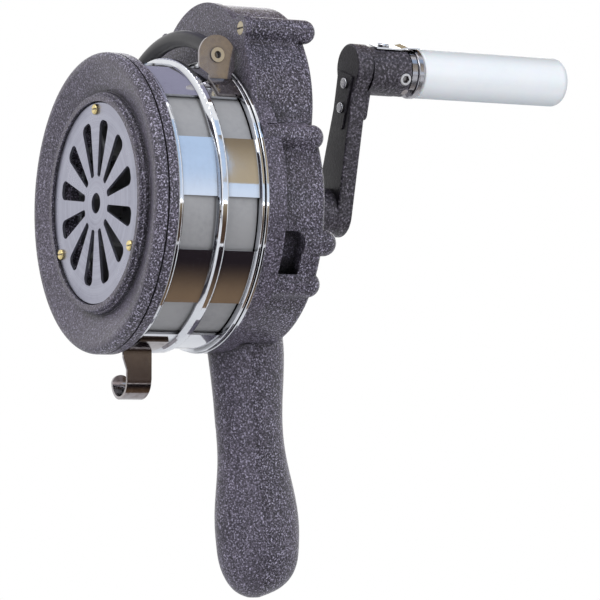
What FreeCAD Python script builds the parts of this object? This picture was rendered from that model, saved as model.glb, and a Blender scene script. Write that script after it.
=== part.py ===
# Hand crank siren. Millimetres, +Z up. The siren axis runs along Y, the intake faces -Y and the crank +Y.
# Everything is laid out about the siren axis, with y = 0 at the front lip, and moved at the end so that
# the origin is the middle of the hand grip.
import FreeCAD, Part
import math
import os

V = FreeCAD.Vector
os.makedirs("parts", exist_ok=True)

# ---- fits and seats ----
run_gap = 0.05          # running fit, radial
slip_gap = 0.30         # loose location between castings
press_gap = 0.01        # a press fit, radial
screw_gap = 0.10        # clearance round a screw shank
rotor_gap = 0.90        # air gap between rotor rim and drum

# ---- stator drum ----
drum_r = 66.1
drum_wall = 1.2
drum_front = 10.2
drum_back = 55.0
drum_plate = 1.8        # front plate of the drum
drum_flange = 3.0       # rear flange of the drum
flange_bore_r = 50.0
mid_rib_r = drum_r + 2.1
rear_rib_r = drum_r + 2.1
front_rib_r = drum_r + 0.9
drum_screw_r = 54.0
drum_screw_angles = [60.0 * k for k in range(6)]
drum_head = (2.75, 2.0)         # radius and height
port_count = 8
port_angle = 21.2
port_phase = 34.2       # angle of the first port from +X towards +Z
row_1 = (13.2, 29.9)
row_2 = (35.6, 51.3)
bar_phase = port_phase - 180.0 / port_count

# ---- front ring and grille ----
ring_r = drum_r + 3.2
lip_r = ring_r - 4.7
lip_round = 3.6
boss_r = 51.2
dish_depth = 3.9
crest_depth = -0.5      # the boss crest stands this far in front of y = 0
intake_r = 39.6
groove_front = 4.2
groove_width = 0.7
groove_depth = 1.0
ring_back = 9.6
grille_r = 46.4
grille_front = 0.9
grille_thick = 1.3
grille_bore_r = 4.7
slot_count = 12
slot_phase = 16.5
slot_in = 12.4
slot_out = 38.4
slot_half_in = 1.5
slot_half_out = 4.9
grille_screw_r = 43.2
grille_screw_count = 3
grille_shank_r = 1.25
grille_head_r = 2.5
grille_head_high = 1.5
grille_screw_angles = [90.0 + 360.0 / grille_screw_count * k for k in range(grille_screw_count)]

# ---- gear case ----
collar_r = drum_r + 1.9
collar_step = 6.7       # the collar stands this far proud of the case
case_r = collar_r - collar_step
collar_back = 64.0
plate_thick = 3.2
plate_step = 0.7        # the front plate stands this far proud of the cover
plate_back = drum_back + plate_thick
gasket_thick = 0.6
gasket_inset = 0.2
cover_front = plate_back + gasket_thick
lobe_r = 50.0
sump_r = case_r - 0.3   # the lower part of the case is a second circle,
sump_drop = 4.0         # this far below the siren axis
case_back = 88.0
wall = 3.5
wall_back = case_back - wall
edge_round = 3.0
lobe_ear = (41.5, 2.1, 5.6, 93.2)       # angle, distance beyond the case, radius, end of the dome
round_ears = [(27.7, 1.5, 5.8, 88.6), (-18.7, -3.2, 6.2, 95.4), (-37.6, 0.0, 6.1, 90.4)]
ear_web = 4.0           # hollow radius where a screw column meets the case
web_step = 4.5          # the webs stop this far below the back of the case
case_screw_r = 1.6
case_head_r = 3.2
case_head_deep = 1.7
case_screw_end = 80.0
pocket_y = (65.8, 77.0)
pocket_z = (-33.4, -14.0)
pocket_deep = 5.5
pocket_wall = 2.5
idler_boss_r = 7.0
idler_boss_end = 67.0

# ---- gear train: two equal stages, so crank and rotor share one axis ----
module = 1.0
wheel_teeth = 78
pinion_teeth = 12
pinion_shift = 0.3      # profile shift, plus on pinions and minus on wheels
backlash = 0.24
idler_height = module * (wheel_teeth + pinion_teeth) / 2.0
first_face = (69.6, 76.4)      # rotor pinion
idler_face = (70.4, 75.2)      # idler wheel
second_face = (77.4, 83.4)     # idler pinion
crank_face = (78.0, 82.8)      # crank wheel
wheel_hub_r = 9.0

# ---- rotor, shaft and bearings ----
shaft_r = 4.0
bearing_r = 11.0
bearing_width = 7.0
bearing_seat = 51.0
bearing_space = 2.0
boss_front = 49.0
bearing_boss_r = 18.0
bearing_back = bearing_seat + 2 * bearing_width + bearing_space
ball_ring_r = 7.5
ball_r = 1.98
ball_count = 7
retainer_thick = 1.3
retainer_bore_r = 9.2
retainer_screw_r = 14.6
retainer_angles = [30.0 + 120.0 * k for k in range(3)]
pinion_seat_r = 2.5
shaft_end = 77.0
hub_r = 9.0
hub_front = 31.0
hub_back = 47.0
web_front = 43.5
web_thick = 2.5
rotor_r = drum_r - drum_wall - rotor_gap
rotor_front = 13.0
rotor_back = 51.0
rim_thick = 1.7
rim_angle = 23.2
blade_thick = 2.2
collar_shaft_r = 5.6
key_half = 1.2
key_out = 1.3
key_deep = 1.4
key_y = (34.0, 45.0)
nut_flat = 10.0
nut_high = 5.0
thread_r = 3.0
washer_r = 7.5
washer_thick = 1.0
idler_pin_r = 3.0
sleeve_r = 5.0

# ---- crank ----
crank_lean = 18.0       # the arm leans this far from +Z towards +X
crank_radius = 70.5
arm_front = 121.0
arm_thick = 8.2
hub_end_r = 11.7
arm_half = 8.4          # half width of the arm, this far from the axis:
neck_at = 50.0
neck_sweep = 14.0       # radius of the sweep from the arm into the knuckle
arm_round = 1.0
arm_end_r = 11.2
arm_rivet_r = 1.8
arm_rivet_head_r = 2.6
arm_rivet_at = (62.9, 51.1)     # along the arm
rivet_off = 0.4                 # across the arm
pad_high = 0.7
crank_shaft_r = 5.0
bush_r = 7.5
boss_end = 110.0
boss_root_r = 14.0
boss_tip_r = 11.3
thrust_thick = 1.0
crank_head_r = 6.5

# ---- folding grip ----
grip_drop = 1.1         # the grip axis lies this far inside the arm's round end
grip_height = crank_radius - grip_drop
knuckle_r = 11.5
knuckle_end = 149.8
pivot_y = 148.6
pivot_drop = 7.6        # the fold pin lies low in the knuckle, so that the grip clears it on its way down
pin_r = 1.5
tang_thick = 1.8
tang_long = 24.0
tang_half = 7.4
fork_slot = 8.0
tongue_thick = 7.6
tongue_r = 3.3
hinge_gap = 0.4
slit_half = 0.5         # the slit that the cross screw pinches
slit_front = 139.0
cross_y = 146.6
cross_height = crank_radius - 2.0
cross_r = 1.6
cross_head = (3.0, 2.4)         # radius and height
socket_r = 1.9
socket_deep = 1.6
hub_ring_r = 11.4
hub_ring_front = 150.0
flange_front = 153.1
flange_back = 156.5
flange_r = 12.1
flange_groove = (0.4, 0.9)      # width and depth of the groove before the flange
grip_r = 11.7
grip_front = 156.9
grip_end = 238.5
spindle_r = 4.0
spindle_neck = 1.0
spindle_end = 228.0
clip_wide = 1.6
grip_bore_gap = 0.15
spring_thick = 0.8
spring_half = 4.0
spring_front = 132.8
spring_bend = 146.0
spring_seat = 0.05
spring_rivet_y = 138.2
spring_rivet_r = 1.2
spring_head = (2.9, 1.5)        # radius and height
cross_seat = knuckle_r - cross_head[1] - 0.1
cross_far = knuckle_r - 3.0
spring_rivet_low = grip_height + knuckle_r - 4.0
spring_top = grip_height + knuckle_r + spring_seat

# ---- strap hooks and carrying cord ----
strip = 1.4
hook_foot_gap = 0.03
rivet_r = 1.2
rivet_head_high = 0.9
flush_r = 2.0           # head of a sunk rivet
flush_deep = 0.8
foot_out = drum_r + hook_foot_gap + strip
rivet_inset = 2.8       # from the edge of a foot
hook_row_2 = (40.0, 51.2)
eye_left = 36.2         # the upright plate of the top lug
eye_mid = (44.0, 67.0)  # y and z of its round end
eye_round = 9.0
eye_base = (57.6, 60.8)         # heights between which it widens, clear of the ribs
eye_shank_r = 2.3
eye_head = (3.4, 0.8)           # radius and height
eye_bore_r = 1.7
top_foot = (45.2, 56.0)         # angles
top_rivet_angle = 49.5
hook_row_1 = (15.1, 27.5)
j_right = 4.0
j_left = -13.5
j_spring = -drum_r - 14.9
j_tip = -drum_r - 12.1
j_tip_back = 23.9
j_root = (13.2, -drum_r - 4.4, -drum_r - 10.0)  # the strip is wider near its foot: y there, and where it narrows
j_low = 26.2            # rear edge at the bottom of the curl
low_foot = (-87.0, -71.0)
low_rivet_angle = -75.0
lug_in = collar_r + slip_gap
lug_angle = (163.5, 172.0)
lug_rivet_angle = 166.5
lug_y = (40.0, 61.0)
lug_rivet_y = lug_y[1] - 3.0
cord_r = 3.9
cord_ring = (-4.4, 1.7)         # x and z of the middle of the bow
cord_ring_r = 76.7
cord_y = eye_mid[0]
cord_far = 171.5
cord_turn = math.degrees(math.acos((eye_left - cord_ring[0]) / cord_ring_r))    # angle where it meets the lug
cord_end_z = cord_ring[1] + cord_ring_r * math.sin(math.radians(cord_turn))
cord_rivet_deep = 1.4
cord_under = 0.24       # between the bow and the pad behind it

# ---- hand grip: (z, centre y, width, depth) ----
grip_sections = [(-38.0, 70.5, 24.0, 31.0), (-54.0, 76.4, 29.0, 37.4), (-67.0, 78.2, 27.6, 37.8),
                 (-89.5, 79.4, 26.0, 34.2), (-108.0, 80.6, 26.0, 32.8), (-122.0, 82.2, 27.2, 35.2), (-136.5, 83.5, 30.0, 39.8),
                 (-155.0, 84.5, 32.0, 40.8), (-165.0, 84.8, 30.6, 38.4), (-174.0, 84.4, 24.6, 30.0),
                 (-179.0, 83.0, 15.6, 18.2), (-181.6, 82.4, 4.8, 5.6)]
grip_wall = 4.0
grip_hollow = (-162.0, -78.0)
parting_top = (-66.0, 74.0)     # (z, y) of the line where the two halves of the grip meet
parting_low = (-182.0, 82.0)
grip_screws_z = (-96.0, -146.0)
grip_screw_r = 1.6
grip_head_r = 3.4
grip_head_deep = 3.4
grip_screw_short = 5.0
post_r = 4.6
grip_middle = V(0.0, 81.5, -125.0)


# ---- small builders ----
def cyl_y(radius, y0, y1, x=0.0, z=0.0):
    return Part.makeCylinder(radius, y1 - y0, V(x, y0, z), V(0, 1, 0))


def cone_y(radius0, radius1, y0, y1, x=0.0, z=0.0):
    return Part.makeCone(radius0, radius1, y1 - y0, V(x, y0, z), V(0, 1, 0))


def tube_y(outer, inner, y0, y1, x=0.0, z=0.0):
    return cyl_y(outer, y0, y1, x, z).cut(cyl_y(inner, y0, y1, x, z))


def rod(start, along, radius, length):
    return Part.makeCylinder(radius, length, start, along)


def block(x, y, z):
    return Part.makeBox(x[1] - x[0], y[1] - y[0], z[1] - z[0], V(x[0], y[0], z[0]))


def polar(angle, radius):
    return radius * math.cos(math.radians(angle)), radius * math.sin(math.radians(angle))


def turned(shape, angle):
    """Turns a shape about the siren axis, from +X towards +Z."""
    copy = shape.copy()
    copy.rotate(V(0, 0, 0), V(0, -1, 0), angle)
    return copy


def fused(shapes):
    whole = shapes[0]
    if len(shapes) > 1:
        whole = whole.fuse(shapes[1:])
    return whole.removeSplitter()


def rounded_wire(corners, place):
    """A closed outline of (u, v, radius) corners, each rounded by its radius; place(u, v) gives the point."""
    edges = []
    ends = []
    count = len(corners)
    for i in range(count):
        u, v, radius = corners[i]
        before, after = corners[i - 1], corners[(i + 1) % count]
        a = (before[0] - u, before[1] - v)
        b = (after[0] - u, after[1] - v)
        la, lb = math.hypot(*a), math.hypot(*b)
        a = (a[0] / la, a[1] / la)
        b = (b[0] / lb, b[1] / lb)
        if radius <= 0:
            ends.append((place(u, v), None, place(u, v)))
            continue
        half = math.acos(max(-1.0, min(1.0, a[0] * b[0] + a[1] * b[1]))) / 2
        run = radius / math.tan(half)
        mid = (a[0] + b[0], a[1] + b[1])
        lm = math.hypot(*mid)
        reach = radius / math.sin(half) - radius
        ends.append((place(u + a[0] * run, v + a[1] * run),
                     place(u + mid[0] / lm * reach, v + mid[1] / lm * reach),
                     place(u + b[0] * run, v + b[1] * run)))
    for i in range(count):
        first, middle, last = ends[i]
        if middle is not None:
            edges.append(Part.Arc(first, middle, last).toShape())
        following = ends[(i + 1) % count][0]
        if last.distanceToPoint(following) > 1e-6:
            edges.append(Part.LineSegment(last, following).toShape())
    return Part.Wire(edges)


def turned_body(corners):
    """A solid turned about the siren axis from (radius, y, rounding) corners."""
    wire = rounded_wire(corners, lambda r, y: V(r, y, 0))
    return Part.Face(wire).revolve(V(0, 0, 0), V(0, 1, 0), 360)


def plate_xz(corners, y0, y1):
    """A plate in the XZ plane from (x, z, rounding) corners."""
    wire = rounded_wire(corners, lambda x, z: V(x, y0, z))
    return Part.Face(wire).extrude(V(0, y1 - y0, 0))


def plate_yz(corners, x0, x1):
    """A plate in the YZ plane from (y, z, rounding) corners."""
    wire = rounded_wire(corners, lambda y, z: V(x0, y, z))
    return Part.Face(wire).extrude(V(x1 - x0, 0, 0))


def plate_xy(corners, z0, z1):
    """A plate in the XY plane from sharp (x, y) corners."""
    points = [V(x, y, z0) for x, y in corners]
    return Part.Face(Part.makePolygon(points + [points[0]])).extrude(V(0, 0, z1 - z0))


def sector(angle, width, inner, outer, y0, y1):
    """A wedge with radial sides, centred on an angle."""
    a, b = angle - width / 2, angle + width / 2
    points = [polar(a, inner), polar(b, inner), polar(b, outer), polar(a, outer)]
    return plate_xz([(x, z, 0) for x, z in points], y0, y1)


def ring_sector(angle, width, inner, outer, y0, y1):
    """Part of a ring, centred on an angle."""
    reach = outer * 1.2 + 5
    return tube_y(outer, inner, y0, y1).common(sector(angle, width, inner * 0.8, reach, y0, y1))


def screw_y(x, z, head, shank, shank_r, head_r, slot=None):
    """A pan head screw along Y. head and shank are (start, end), the head on the outer side."""
    out = -1 if head[0] < shank[0] else 1
    body = cyl_y(head_r, head[0], head[1], x, z)
    rim = [e for e in body.Edges if abs(e.BoundBox.Center.y - (head[0] if out < 0 else head[1])) < 1e-4
           and e.BoundBox.YLength < 1e-4]
    body = body.makeFillet(min(abs(head[1] - head[0]) * 0.6, head_r * 0.5), rim)
    if slot:
        deep, wide = slot
        y = (head[0], head[0] + deep) if out < 0 else (head[1] - deep, head[1])
        body = body.cut(block((x - head_r * 1.1, x + head_r * 1.1), y, (z - wide / 2, z + wide / 2)))
    return body.fuse(cyl_y(shank_r, shank[0], shank[1], x, z)).removeSplitter()


def mirrored_pairs(places):
    return list(places) + [(-p[0],) + tuple(p[1:]) for p in places]


def ear_places():
    """(x, z, radius, end of the dome) of every screw column of the case, on both sides."""
    angle, beyond, r, end = lobe_ear
    x, z = polar(angle, lobe_r + beyond)
    places = [(x, idler_height + z, r, end)]
    for angle, beyond, r, end in round_ears:
        places.append(polar(angle, case_r + beyond) + (r, end))
    return mirrored_pairs(places)


def arm_point(along, across, y=0.0):
    """A point in the crank's own directions: along the arm from the axis, and across it."""
    lean = math.radians(crank_lean)
    return V(along * math.sin(lean) + across * math.cos(lean), y,
             along * math.cos(lean) - across * math.sin(lean))


across_dir = arm_point(0.0, 1.0)
along_dir = arm_point(1.0, 0.0)


def in_arm_frame(shape):
    """Leans a shape that was drawn with the arm along +Z."""
    copy = shape.copy()
    copy.rotate(V(0, 0, 0), V(0, 1, 0), crank_lean)
    return copy


made = []


def save(name, shape):
    solids = shape.Solids
    if not solids or not all(s.isValid() for s in solids):
        print("CHECK", name, "solids", len(solids), [s.isValid() for s in solids])
    placed = Part.makeCompound([s.copy() for s in solids]) if len(solids) > 1 else solids[0].copy()
    placed.translate(-grip_middle)
    placed.exportStep("parts/" + name + ".step")
    made.append(name)
    box = placed.BoundBox
    print("%-22s %2d solid  vol %9.1f  x %7.1f %7.1f  y %7.1f %7.1f  z %7.1f %7.1f" % (
        name, len(solids), placed.Volume, box.XMin, box.XMax, box.YMin, box.YMax, box.ZMin, box.ZMax))


# ---- gears ----
def gear(teeth, shift, y0, y1, x=0.0, z=0.0, tooth_at=90.0, steps=4):
    """A spur gear along Y with faceted involute flanks; one tooth is centred on tooth_at."""
    press = math.radians(20.0)
    pitch_r = module * teeth / 2.0
    base_r = pitch_r * math.cos(press)
    tip_r = pitch_r + module * (1.0 + shift)
    root_r = pitch_r - module * (1.25 - shift)
    half_pitch = (math.pi / 2 + 2 * shift * math.tan(press)) / teeth - backlash / (4.0 * pitch_r)
    start_r = max(base_r, root_r)

    def half_at(radius):
        a = math.acos(min(1.0, base_r / radius))
        return half_pitch + (math.tan(press) - press) - (math.tan(a) - a)

    flank = [start_r + (tip_r - start_r) * i / steps for i in range(steps + 1)]
    points = []
    for k in range(teeth):
        middle = math.radians(tooth_at + 360.0 * k / teeth)
        profile = [(root_r, -half_at(start_r) * 1.04)] if root_r < base_r else []
        profile += [(r, -half_at(r)) for r in flank]
        profile += [(r, half_at(r)) for r in reversed(flank)]
        profile += [(root_r, half_at(start_r) * 1.04)] if root_r < base_r else []
        points += [V(x + r * math.cos(middle + a), y0, z + r * math.sin(middle + a)) for r, a in profile]
    return Part.Face(Part.makePolygon(points + [points[0]])).extrude(V(0, y1 - y0, 0))


def spoked_wheel(face, bore_r, z, tooth_at):
    """A wheel with a thin web, six round windows and a hub."""
    y0, y1 = face
    body = gear(wheel_teeth, -pinion_shift, y0, y1, 0.0, z, tooth_at)
    rim_in = module * wheel_teeth / 2.0 - 5.5
    recess = 1.2
    for low, high in ((y0, y0 + recess), (y1 - recess, y1)):
        body = body.cut(tube_y(rim_in, wheel_hub_r + 1.5, low, high, 0.0, z))
    for k in range(6):
        px, pz = polar(60.0 * k, (rim_in + wheel_hub_r) / 2 + 0.8)
        body = body.cut(cyl_y(7.0, y0, y1, px, z + pz))
    return body.cut(cyl_y(bore_r, y0, y1, 0.0, z))


# ---- stator ----
def stator_drum():
    r, inner = drum_r, drum_r - drum_wall
    y0, y1 = drum_front, drum_back
    body = turned_body([
        (intake_r, y0, 0), (front_rib_r, y0, 0.8), (front_rib_r, y0 + 2.2, 0.7), (r, y0 + 2.8, 0),
        (r, row_1[1], 0), (mid_rib_r, row_1[1] + 1.2, 1.2), (mid_rib_r, row_2[0] - 1.2, 1.2), (r, row_2[0], 0),
        (r, row_2[1], 0), (rear_rib_r - 0.5, row_2[1] + 0.3, 0.4), (rear_rib_r - 0.5, row_2[1] + 1.7, 0.4),
        (rear_rib_r - 1.3, row_2[1] + 2.0, 0), (rear_rib_r, row_2[1] + 2.3, 0.4), (rear_rib_r, y1, 0.3),
        (flange_bore_r, y1, 0), (flange_bore_r, y1 - drum_flange, 0), (inner, y1 - drum_flange, 0),
        (inner, y0 + drum_plate, 0), (intake_r, y0 + drum_plate, 0)])
    ports = []
    for k in range(port_count):
        angle = port_phase + 360.0 / port_count * k
        for y in (row_1, row_2):
            ports.append(sector(angle, port_angle, inner - 6, r + 6, y[0], y[1]))
    body = body.cut(ports)
    holes = [cyl_y(case_screw_r + screw_gap, drum_back - drum_flange, drum_back, *polar(a, drum_screw_r))
             for a in drum_screw_angles]
    holes += [cyl_y(grille_shank_r + press_gap, y0, y0 + drum_plate, *polar(a, grille_screw_r))
              for a in grille_screw_angles]
    holes += [rod(p, d, rivet_r + screw_gap, drum_wall + 2.0) for p, d in rivet_places(inner - 1.0)]
    return body.cut(holes)


def rivet_places(radius):
    """Start points and outward directions of the rivets in the feet of the strap hooks."""
    spots = [(top_rivet_angle, hook_row_2[0] + rivet_inset), (top_rivet_angle, hook_row_2[1] - rivet_inset),
             (low_rivet_angle, hook_row_1[0] + rivet_inset), (low_rivet_angle, hook_row_1[1] - rivet_inset)]
    places = []
    for angle, y in spots:
        x, z = polar(angle, 1.0)
        places.append((V(x * radius, y, z * radius), V(x, 0, z)))
    return places


def front_ring():
    r = ring_r
    crest = crest_depth
    body = turned_body([
        (intake_r, grille_front + grille_thick, 0), (grille_r + slip_gap, grille_front + grille_thick, 0),
        (grille_r + slip_gap, crest, 0.3), (boss_r - 1.5, crest, 0.9), (boss_r - 1.1, crest + 1.7, 0),
        (boss_r - 0.9, crest + 2.0, 0), (boss_r - 0.3, crest + 2.3, 0.4), (boss_r, dish_depth, 0.3),
        (lip_r, -0.6, 1.2), (r, -0.6, lip_round), (r, groove_front, 0.3), (r - groove_depth, groove_front, 0),
        (r - groove_depth, groove_front + groove_width, 0), (r, groove_front + groove_width, 0.4),
        (r, ring_back, 0.5), (front_rib_r - 0.2, ring_back, 0), (front_rib_r - 0.2, drum_front, 0),
        (lip_r - 1.0, drum_front, 0), (lip_r - 1.0, 3.4, 0.8), (boss_r + 1.6, 6.6, 0.8),
        (boss_r + 1.6, drum_front, 0), (intake_r, drum_front, 0)])
    holes = [cyl_y(grille_shank_r + screw_gap, 0.0, drum_front, *polar(a, grille_screw_r))
             for a in grille_screw_angles]
    return body.cut(holes)


def grille_plate():
    y0, y1 = grille_front, grille_front + grille_thick
    body = turned_body([(grille_bore_r, y0, 0), (grille_r, y0, 0.35), (grille_r, y1, 0), (grille_bore_r, y1, 0)])
    slot = plate_xz([(slot_in, -slot_half_in, 1.3), (slot_out, -slot_half_out, 3.2),
                     (slot_out, slot_half_out, 3.2), (slot_in, slot_half_in, 1.3)], y0 - 1, y1 + 1)
    slots = [turned(slot, slot_phase + 360.0 / slot_count * k) for k in range(slot_count)]
    holes = [cyl_y(grille_shank_r + screw_gap, y0 - 1, y1 + 1, *polar(a, grille_screw_r))
             for a in grille_screw_angles]
    return body.cut(slots + holes)


def grille_screws():
    screws = []
    for a in grille_screw_angles:
        x, z = polar(a, grille_screw_r)
        screws.append(screw_y(x, z, (grille_front - grille_head_high, grille_front),
                              (grille_front - 0.2, drum_front + drum_plate), grille_shank_r, grille_head_r,
                              (0.7, 0.7)))
    return Part.makeCompound(screws)


def drum_screws():
    screws = []
    for a in drum_screw_angles:
        x, z = polar(a, drum_screw_r)
        screws.append(screw_y(x, z, (plate_back, plate_back + drum_head[1]),
                              (drum_back - drum_flange, plate_back + 0.2), case_screw_r, drum_head[0], (0.8, 0.8)))
    return Part.makeCompound(screws)


# ---- strap hooks and cord ----
def foot(angles, y0, y1):
    """A foot of a strap hook, curved to lie on the drum."""
    inner = drum_r + hook_foot_gap
    return ring_sector(sum(angles) / 2, angles[1] - angles[0], inner, inner + strip, y0, y1)


def flush_holes(count):
    """Holes for the first rivets of the strap hooks, sunk for their heads."""
    holes = []
    for p, d in rivet_places(drum_r - 3.0)[:count]:
        sunk = p + d * (foot_out - flush_deep - drum_r + 3.0)
        cone = Part.makeCone(rivet_r + screw_gap, flush_r + screw_gap, flush_deep + 0.01, sunk, d)
        mouth = rod(sunk + d * flush_deep, d, flush_r + screw_gap, 1.0)
        holes.append(fused([rod(p, d, rivet_r + screw_gap, 5.0), cone, mouth]))
    return holes


def strap_hook_top():
    y0, y1 = hook_row_2
    mid_y, mid_z = eye_mid
    root = drum_r * 0.75
    plate = plate_yz([(y0, root, 0), (y0, eye_base[0], 0), (mid_y - eye_round, eye_base[1], 1.0),
                      (mid_y - eye_round, mid_z, 0), (mid_y + eye_round, mid_z, 0),
                      (mid_y + eye_round, eye_base[1], 1.0), (y1, eye_base[0], 0), (y1, root, 0)],
                     eye_left, eye_left + strip)
    plate = plate.fuse(rod(V(eye_left, mid_y, mid_z), V(1, 0, 0), eye_round, strip))
    body = fused([plate.cut(cyl_y(drum_r + hook_foot_gap, y0 - 1, y1 + 1)), foot(top_foot, y0, y1)])
    holes = flush_holes(2)[:2]
    holes.append(rod(V(eye_left - 1, cord_y, cord_end_z), V(1, 0, 0), eye_shank_r + screw_gap, strip + 2.0))
    return body.cut(holes)


def strap_hook_bottom():
    y0, y1 = hook_row_1
    mid_x = (j_left + j_right) / 2
    big = (j_right - j_left) / 2
    low = j_spring - big - 1
    curl = tube_y(big, big - strip, y0, y1, mid_x, j_spring).common(
        block((j_left - 1, j_right + 1), (y0, y1), (low, j_spring)))
    tip = block((j_left, j_left + strip), (y0, y1), (j_spring, j_tip))
    taper = plate_xy([(j_left - 1, y0), (j_right + 1, y0), (j_right + 1, y1), (mid_x, j_low),
                      (j_left + strip, j_tip_back), (j_left - 1, j_tip_back)], low, j_tip + 1)
    round_end = (j_tip_back - y0) / 2 - 0.1
    end = plate_yz([(y0, low, 0), (j_tip_back, low, 0), (j_tip_back, j_tip, round_end), (y0, j_tip, round_end)],
                   j_left - 1, j_left + 2 * strip)
    rest = block((j_left + 2 * strip, j_right + 1), (y0, y1), (low, j_tip + 1))
    hook = curl.fuse(tip).common(taper).common(end.fuse(rest))
    shank = plate_yz([(y0, j_spring, 0), (y1, j_spring, 0), (y1, -drum_r * 0.9, 0), (j_root[0], -drum_r * 0.9, 0),
                      (j_root[0], j_root[1], 1.0), (y0, j_root[2], 3.0)], j_right - strip, j_right)
    shank = shank.cut(cyl_y(drum_r + hook_foot_gap, 0, y1 + 1))
    body = fused([hook, shank, foot(low_foot, j_root[0], y1)])
    return body.cut(flush_holes(4)[2:])


def hook_rivets():
    rivets = []
    start = drum_r - drum_wall + 0.05
    below = foot_out - flush_deep - start
    for p, d in rivet_places(start):
        head = Part.makeCone(rivet_r, flush_r, flush_deep, p + d * below, d)
        rivets.append(rod(p, d, rivet_r, below).fuse(head).removeSplitter())
    return Part.makeCompound(rivets)


def lug_crossing():
    """How far out the middle of the bow is, on the line of the lug's rivets."""
    x, z = polar(lug_rivet_angle, 1.0)
    along = x * cord_ring[0] + z * cord_ring[1]
    return along + math.sqrt(along ** 2 - cord_ring[0] ** 2 - cord_ring[1] ** 2 + cord_ring_r ** 2)


lug_thick = lug_crossing() - lug_in - cord_r - cord_under
cord_outer = lug_in + lug_thick + 2 * cord_r + 0.6


def lug_axis():
    x, z = polar(lug_rivet_angle, 1.0)
    return V(x, 0, z)


def lug_rod(radius, start, end, y):
    """A rod along the rivets of the cord lug, between two distances from the siren axis."""
    out = lug_axis()
    return rod(out * start + V(0, y, 0), out, radius, end - start)


def carry_cord():
    start = cord_turn - 12.0
    x, z = polar(start, 1.0)
    centre = V(cord_ring[0] + cord_ring_r * x, cord_y, cord_ring[1] + cord_ring_r * z)
    disc = Part.Face(Part.Wire(Part.makeCircle(cord_r, centre, V(-z, 0, x))))
    bow = disc.revolve(V(cord_ring[0], cord_y, cord_ring[1]), V(0, -1, 0), cord_far - start)
    stop = block((eye_left, eye_left + 40.0), (cord_y - 2 * cord_r, cord_y + 2 * cord_r), (0.0, 2 * cord_end_z))
    holes = [rod(V(eye_left - cord_rivet_deep - 0.1, cord_y, cord_end_z), V(1, 0, 0), eye_shank_r + press_gap,
                 cord_rivet_deep + 1.0),
             lug_rod(rivet_r + press_gap, lug_in, cord_outer, cord_y)]
    return bow.cut([stop] + holes)


def cord_lug():
    middle, width = sum(lug_angle) / 2, lug_angle[1] - lug_angle[0]
    body = ring_sector(middle, width, lug_in, lug_in + lug_thick, lug_y[0], lug_y[1])
    return body.cut([lug_rod(rivet_r + screw_gap, lug_in - 5, cord_outer, y) for y in (cord_y, lug_rivet_y)])


def cord_rivets():
    head_r, head = rivet_r * 1.6, rivet_head_high
    seat = eye_left + strip
    near = rod(V(eye_left - cord_rivet_deep, cord_y, cord_end_z), V(1, 0, 0), eye_shank_r, cord_rivet_deep + strip)
    near = near.fuse(rod(V(seat, cord_y, cord_end_z), V(1, 0, 0), eye_head[0], eye_head[1]))
    near = near.cut(rod(V(eye_left, cord_y, cord_end_z), V(1, 0, 0), eye_bore_r, strip + 2.0))
    far = lug_rod(rivet_r, lug_in, cord_outer, cord_y).fuse(lug_rod(head_r, cord_outer, cord_outer + head, cord_y))
    top = lug_in + lug_thick
    case = lug_rod(rivet_r, collar_r - 5.0, top, lug_rivet_y).fuse(lug_rod(head_r, top, top + head, lug_rivet_y))
    return Part.makeCompound([s.removeSplitter() for s in (near, far, case)])


# ---- hand grip ----
def grip_loft(shrink=0.0, rows=None):
    wires = []
    for z, y, width, depth in (rows or grip_sections):
        a, b = depth / 2 - shrink, width / 2 - shrink
        ellipse = Part.Ellipse(V(0, y - a, z), V(-b, y, z), V(0, y, z))
        wires.append(Part.Wire(ellipse.toShape()))
    return Part.makeLoft(wires, True, False, False)


def section_at(height):
    rows = sorted(grip_sections)
    for low, high in zip(rows, rows[1:]):
        if low[0] <= height <= high[0]:
            t = (height - low[0]) / (high[0] - low[0])
            return (height,) + tuple(low[i] + t * (high[i] - low[i]) for i in (1, 2, 3))
    return rows[0]


def grip_cavity():
    rows = [section_at(grip_hollow[1])]
    rows += [s for s in grip_sections if grip_hollow[0] < s[0] < grip_hollow[1]]
    rows += [section_at(grip_hollow[0])]
    cavity = grip_loft(grip_wall, rows)
    posts = [cyl_y(post_r, 50, 120, 0, z) for z in grip_screws_z]
    return cavity.cut(posts)


def parting_side(front):
    """A large block on one side of the slanted parting plane of the grip."""
    z0, y0 = parting_top
    z1, y1 = parting_low
    slope = (y1 - y0) / (z1 - z0)
    top, low = -40.0, -200.0
    far = -30.0 if front else 200.0
    points = [V(-60, y0 + slope * (top - z0), top), V(-60, y0 + slope * (low - z0), low), V(-60, far, low),
              V(-60, far, top)]
    return Part.Face(Part.makePolygon(points + [points[0]])).extrude(V(120, 0, 0))


def grip_screw_y(z):
    """Places along Y of one grip screw: the head seat in the rear half and the shank end."""
    _, y, _, depth = section_at(z)
    return y + depth / 2 - grip_head_deep, y - depth / 2 + grip_screw_short


def grip_screw_holes(head):
    holes = []
    for z in grip_screws_z:
        seat, end = grip_screw_y(z)
        hole = cyl_y(grip_screw_r + (screw_gap if head else press_gap), end, seat + 0.1, 0, z)
        if head:
            hole = hole.fuse(cyl_y(grip_head_r + 0.15, seat, seat + 20, 0, z)).removeSplitter()
        holes.append(hole)
    return holes


def hollow_grip(body, front):
    """Hollows one half of the hand grip, leaving the screw posts, and drills it."""
    for hole in grip_screw_holes(not front):
        body = body.cut(hole)
    return body.cut(grip_cavity().common(parting_side(front)))


def grip_screws():
    screws = []
    for z in grip_screws_z:
        seat, end = grip_screw_y(z)
        screws.append(screw_y(0, z, (seat, seat + 2.0), (end, seat + 0.2), grip_screw_r, grip_head_r, (0.9, 0.9)))
    return Part.makeCompound(screws)


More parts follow.
